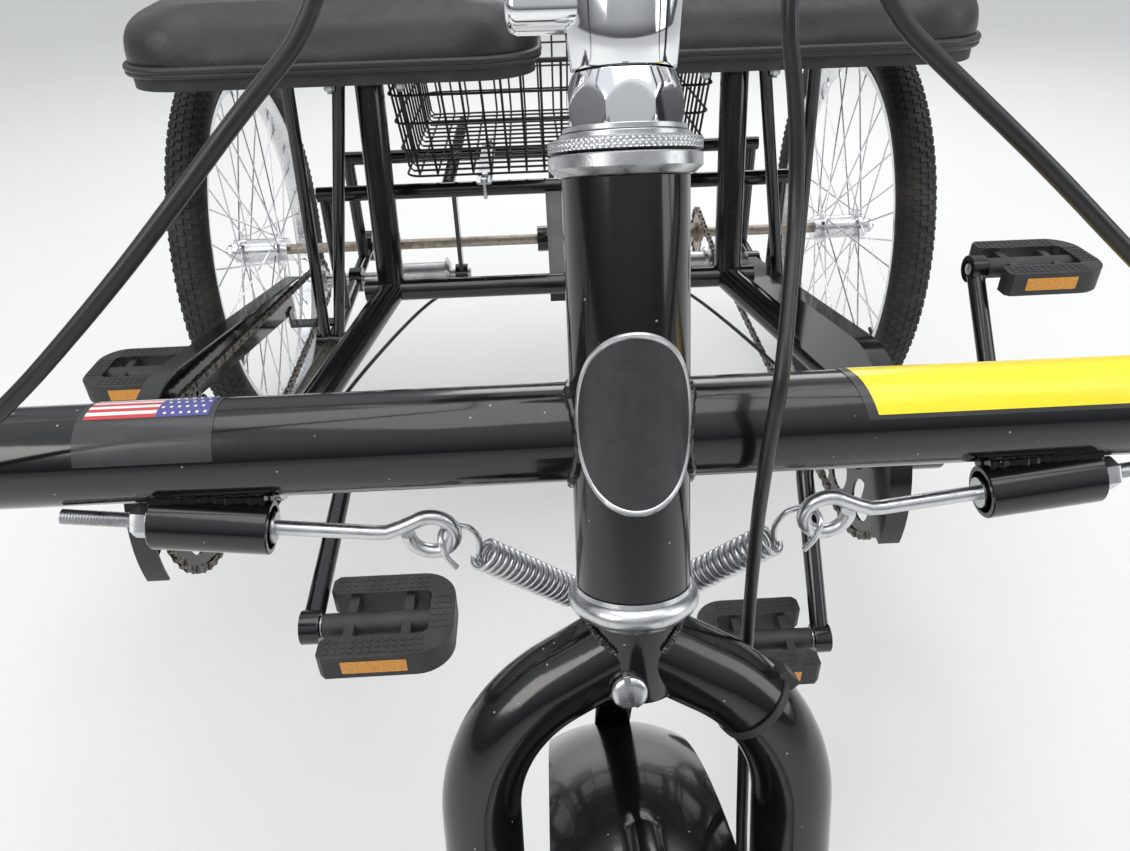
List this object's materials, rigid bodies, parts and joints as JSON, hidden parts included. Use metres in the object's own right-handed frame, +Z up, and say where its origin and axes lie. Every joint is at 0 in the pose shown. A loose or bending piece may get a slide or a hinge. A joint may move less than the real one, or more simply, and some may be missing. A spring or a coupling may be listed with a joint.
{
  "type": "pedal tricycle",
  "caption": "Side-by-side two-seat pedal tricycle with twin crank drives, sprung centring steering, rear wire basket and spoked wheels.",
  "frame": {"origin": "on the ground plane, at the centre of the box round the whole vehicle", "axes": "-Y is the way the vehicle faces, +X its own left side, +Z up"},
  "size_m": [1.0728, 1.79, 0.9817],
  "materials": {
    "tyre_rubber": "block tread, matte",
    "wheel_silver": "bright silver",
    "seat_vinyl": "grained black vinyl",
    "black_plastic": "satin moulded",
    "grip_rubber": "matte",
    "cable_black": "smooth sleeve",
    "zinc_plate": "bright zinc",
    "chrome_plate": "polished",
    "chain_steel": "oiled",
    "hub_alloy": "satin silver",
    "axle_steel": "plated",
    "basket_black": "powder coated wire",
    "frame_black": "gloss black paint"
  },
  "bodies": {
    "frame": {"head_tube": "frame_black", "headset_cups": "zinc_plate", "crossbar_left": "frame_black", "crossbar_right": "frame_black", "eye_bolts": "zinc_plate", "centering_spring_left": "zinc_plate", "centering_spring_right": "zinc_plate", "lower_cross_tube": "frame_black", "main_tube_left": "frame_black", "main_tube_right": "frame_black", "down_tube_left": "frame_black", "down_tube_right": "frame_black", "seat_post_left": "frame_black", "seat_post_right": "frame_black", "seat_pans": "black_plastic", "seat_cushion_left": "seat_vinyl", "seat_cushion_right": "seat_vinyl", "seat_struts": "frame_black", "axle_stay_left": "frame_black", "axle_stay_right": "frame_black", "chain_stay_left": "chain_steel", "chain_stay_right": "chain_steel", "drive_chain_left": "chain_steel", "drive_chain_right": "chain_steel", "axle_chain_left": "chain_steel", "axle_chain_right": "chain_steel", "chain_guard_left": "frame_black", "chain_guard_right": "frame_black", "carrier_frame": "frame_black", "centre_hangers": "frame_black", "basket": "basket_black", "shift_cables": "cable_black"},
    "steering": {"fork_crown": "frame_black", "fork_leg_left": "frame_black", "fork_leg_right": "frame_black", "headset_locknut": "chrome_plate", "stem": "chrome_plate", "bar_sleeve": "frame_black", "handlebar": "chrome_plate", "grips": "grip_rubber", "brake_lever": "frame_black", "front_fender": "frame_black", "front_axle": "axle_steel", "brake_cable": "cable_black"},
    "front_wheel": {"front_tyre": "tyre_rubber", "front_wheel": "wheel_silver"},
    "rear_wheel_left": {"rear_tyre_left": "tyre_rubber", "rear_wheel_left": "wheel_silver", "half_axle_left": "axle_steel"},
    "rear_wheel_right": {"rear_tyre_right": "tyre_rubber", "rear_wheel_right": "wheel_silver", "half_axle_right": "axle_steel"},
    "crank_left": {"crank_left": "frame_black"},
    "crank_right": {"crank_right": "frame_black"},
    "mid_hub_left": {"mid_hub_left": "hub_alloy"},
    "mid_hub_right": {"mid_hub_right": "hub_alloy"},
    "pedal_left_inner": {"pedal_left_inner": "black_plastic"},
    "pedal_left_outer": {"pedal_left_outer": "black_plastic"},
    "pedal_right_inner": {"pedal_right_inner": "black_plastic"},
    "pedal_right_outer": {"pedal_right_outer": "black_plastic"}
  },
  "joints": [
    {"name": "steering", "type": "hinge", "parent": "frame", "child": "steering", "pos_m": [0, -0.48666, 0.58086], "axis": [0, 0.314, 0.9494], "range_deg": [-35, 35], "stiffness_Nm_per_rad": 5, "deforming": ["centering_spring_left", "centering_spring_right", "shift_cables", "brake_cable"]},
    {"name": "front_wheel_spin", "type": "hinge", "parent": "steering", "child": "front_wheel", "pos_m": [0, -0.638, 0.257], "axis": [1, 0, 0], "continuous": true},
    {"name": "rear_wheel_left_spin", "type": "hinge", "parent": "frame", "child": "rear_wheel_left", "pos_m": [0.467, 0.59, 0.305], "axis": [1, 0, 0], "continuous": true},
    {"name": "rear_wheel_right_spin", "type": "hinge", "parent": "frame", "child": "rear_wheel_right", "pos_m": [-0.467, 0.59, 0.305], "axis": [1, 0, 0], "continuous": true},
    {"name": "crank_left_spin", "type": "hinge", "parent": "frame", "child": "crank_left", "pos_m": [0.305, -0.07, 0.335], "axis": [1, 0, 0], "continuous": true},
    {"name": "mid_hub_left_spin", "type": "hinge", "parent": "frame", "child": "mid_hub_left", "pos_m": [0.2, 0.47, 0.298], "axis": [1, 0, 0], "continuous": true},
    {"name": "pedal_left_inner_spin", "type": "hinge", "parent": "crank_left", "child": "pedal_left_inner", "pos_m": [0.2125, -0.18375, 0.20866], "axis": [1, 0, 0], "continuous": true},
    {"name": "pedal_left_outer_spin", "type": "hinge", "parent": "crank_left", "child": "pedal_left_outer", "pos_m": [0.3975, 0.04375, 0.46133], "axis": [1, 0, 0], "continuous": true},
    {"name": "crank_right_spin", "type": "hinge", "parent": "frame", "child": "crank_right", "pos_m": [-0.305, -0.07, 0.335], "axis": [1, 0, 0], "continuous": true},
    {"name": "mid_hub_right_spin", "type": "hinge", "parent": "frame", "child": "mid_hub_right", "pos_m": [-0.2, 0.47, 0.298], "axis": [1, 0, 0], "continuous": true},
    {"name": "pedal_right_outer_spin", "type": "hinge", "parent": "crank_right", "child": "pedal_right_outer", "pos_m": [-0.3975, 0.09873, 0.35572], "axis": [1, 0, 0], "continuous": true},
    {"name": "pedal_right_inner_spin", "type": "hinge", "parent": "crank_right", "child": "pedal_right_inner", "pos_m": [-0.2125, -0.23873, 0.31428], "axis": [1, 0, 0], "continuous": true}
  ]
}
